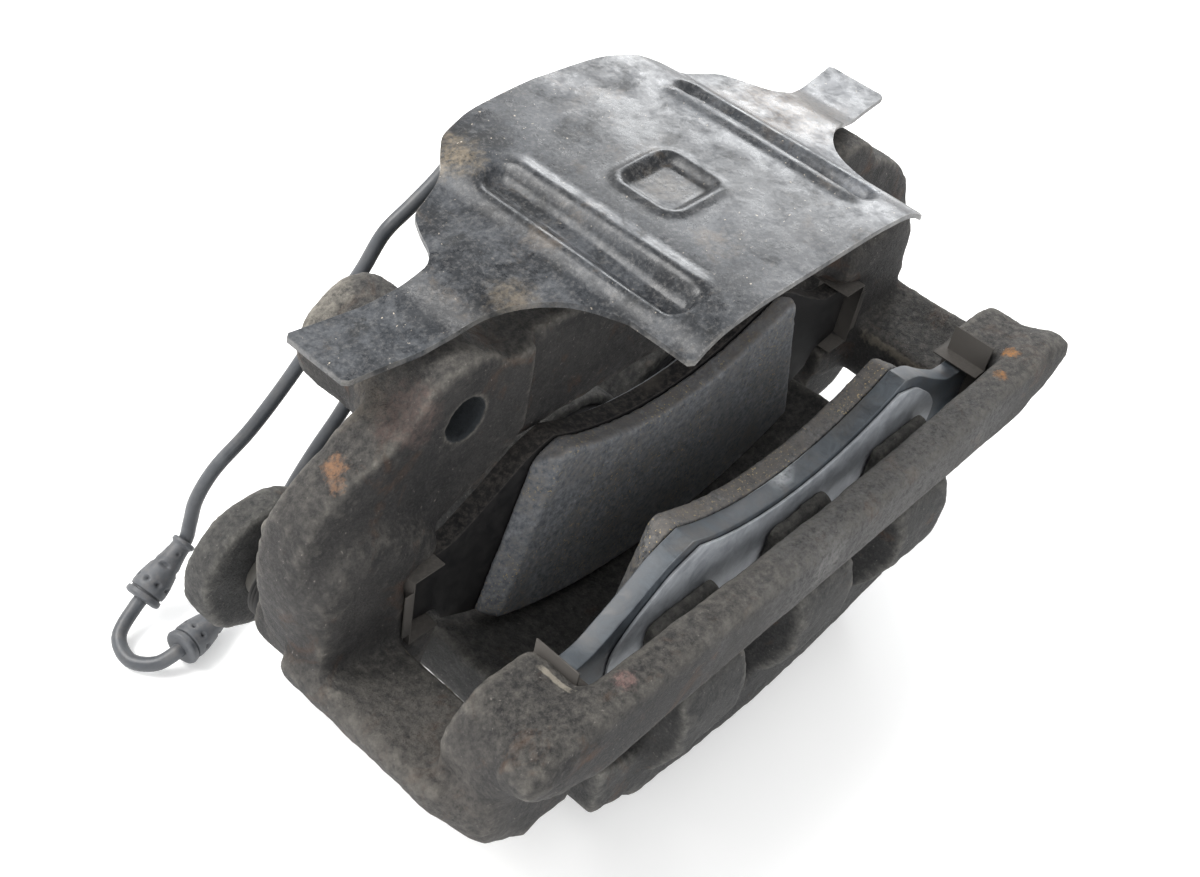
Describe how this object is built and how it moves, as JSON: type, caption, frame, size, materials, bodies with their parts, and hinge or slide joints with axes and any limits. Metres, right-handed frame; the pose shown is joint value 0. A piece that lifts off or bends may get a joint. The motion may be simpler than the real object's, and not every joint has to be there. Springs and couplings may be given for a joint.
{
  "type": "brake caliper",
  "caption": "Floating disc brake caliper with cast carrier, sliding housing, pistons, brake pads, sheet shield plate and a sensor lead with grommets.",
  "frame": {"origin": "on the surface that the caliper lies on, under the middle of its box, the free sensor lead left out", "axes": "+X along the tie bar, +Y inboard towards the pistons, +Z from the bridge towards the hub side"},
  "size_m": [0.2686, 0.1649, 0.158],
  "materials": {
    "carrier_iron": "rough cast iron, weathered dark brown-grey with rust",
    "housing_iron": "rough cast iron, dark with brake dust",
    "coated_sheet_steel": "worn dark coating on pressed sheet, semi-gloss with dust",
    "stainless_clip": "thin stainless spring strip, dusty",
    "pad_steel": "blue-grey coated steel backing plate, scuffed edge",
    "friction_lining": "worn friction compound with metallic flecks",
    "noise_shim": "dark satin rubber-coated shim",
    "piston_chrome": "ground and plated",
    "plated_steel": "zinc plated, aged",
    "black_rubber": "matt",
    "boot_rubber": "matt, dusty",
    "grommet_rubber": "satin moulded rubber",
    "lead_jacket": "satin cable jacket",
    "black_plastic": "moulded, satin"
  },
  "bodies": {
    "carrier": {"carrier_bracket": "carrier_iron", "pad_clip_inner_left": "stainless_clip", "pad_clip_inner_right": "stainless_clip", "pad_clip_outer_left": "stainless_clip", "pad_clip_outer_right": "stainless_clip", "guide_pin_boot_left": "boot_rubber", "guide_pin_boot_right": "boot_rubber"},
    "housing": {"caliper_housing": "housing_iron", "piston_seal_left": "black_rubber", "piston_seal_right": "black_rubber", "piston_dust_boot_left": "boot_rubber", "piston_dust_boot_right": "boot_rubber", "guide_pin_left": "plated_steel", "guide_pin_right": "plated_steel", "guide_pin_bolt_left": "plated_steel", "guide_pin_bolt_right": "plated_steel", "guide_pin_damper": "black_rubber", "lead_bracket": "plated_steel", "lead_bracket_bolt": "plated_steel", "sensor_head": "black_plastic", "sensor_lead": "lead_jacket", "lead_grommet_upper": "grommet_rubber", "lead_grommet_lower": "grommet_rubber", "lead_connector": "black_plastic"},
    "left_piston": {"piston_left": "piston_chrome"},
    "right_piston": {"piston_right": "piston_chrome"},
    "inner_pad": {"inner_pad_plate": "pad_steel", "inner_pad_lining": "friction_lining", "inner_pad_shim": "noise_shim"},
    "outer_pad": {"outer_pad_plate": "pad_steel", "outer_pad_lining": "friction_lining", "outer_pad_shim": "noise_shim"},
    "bleeder": {"bleeder_screw": "plated_steel"},
    "bleeder_cap": {"bleeder_cap": "black_rubber"},
    "shield": {"shield_plate": "coated_sheet_steel"}
  },
  "joints": [
    {"name": "housing_slide", "type": "slide", "parent": "carrier", "child": "housing", "axis": [0, 1, 0], "range_m": [0, 0.007], "deforming": ["guide_pin_boot_left", "guide_pin_boot_right"]},
    {"name": "left_piston_slide", "type": "slide", "parent": "housing", "child": "left_piston", "axis": [0, -1, 0], "range_m": [0, 0.014], "deforming": ["piston_dust_boot_left"]},
    {"name": "right_piston_slide", "type": "slide", "parent": "housing", "child": "right_piston", "axis": [0, -1, 0], "range_m": [0, 0.014], "deforming": ["piston_dust_boot_right"]},
    {"name": "inner_pad_slide", "type": "slide", "parent": "carrier", "child": "inner_pad", "axis": [0, -1, 0], "range_m": [0, 0.007]},
    {"name": "outer_pad_slide", "type": "slide", "parent": "carrier", "child": "outer_pad", "axis": [0, 1, 0], "range_m": [0, 0.007]},
    {"name": "bleeder_turn", "type": "hinge", "parent": "housing", "child": "bleeder", "pos_m": [0.038, 0.0615, 0.074], "axis": [0, 1, 0], "range_deg": [0, 270]},
    {"name": "bleeder_cap_pull", "type": "slide", "parent": "bleeder", "child": "bleeder_cap", "axis": [0, 1, 0], "range_m": [0, 0.012]},
    {"name": "shield_lift", "type": "slide", "parent": "carrier", "child": "shield", "axis": [0, 0, 1], "range_m": [0, 0.025]}
  ],
  "couplings": [
    {"joint": "inner_pad_slide", "follows": "housing_slide", "ratio": 1},
    {"joint": "outer_pad_slide", "follows": "housing_slide", "ratio": 1},
    {"joint": "left_piston_slide", "follows": "housing_slide", "ratio": 2},
    {"joint": "right_piston_slide", "follows": "housing_slide", "ratio": 2}
  ]
}
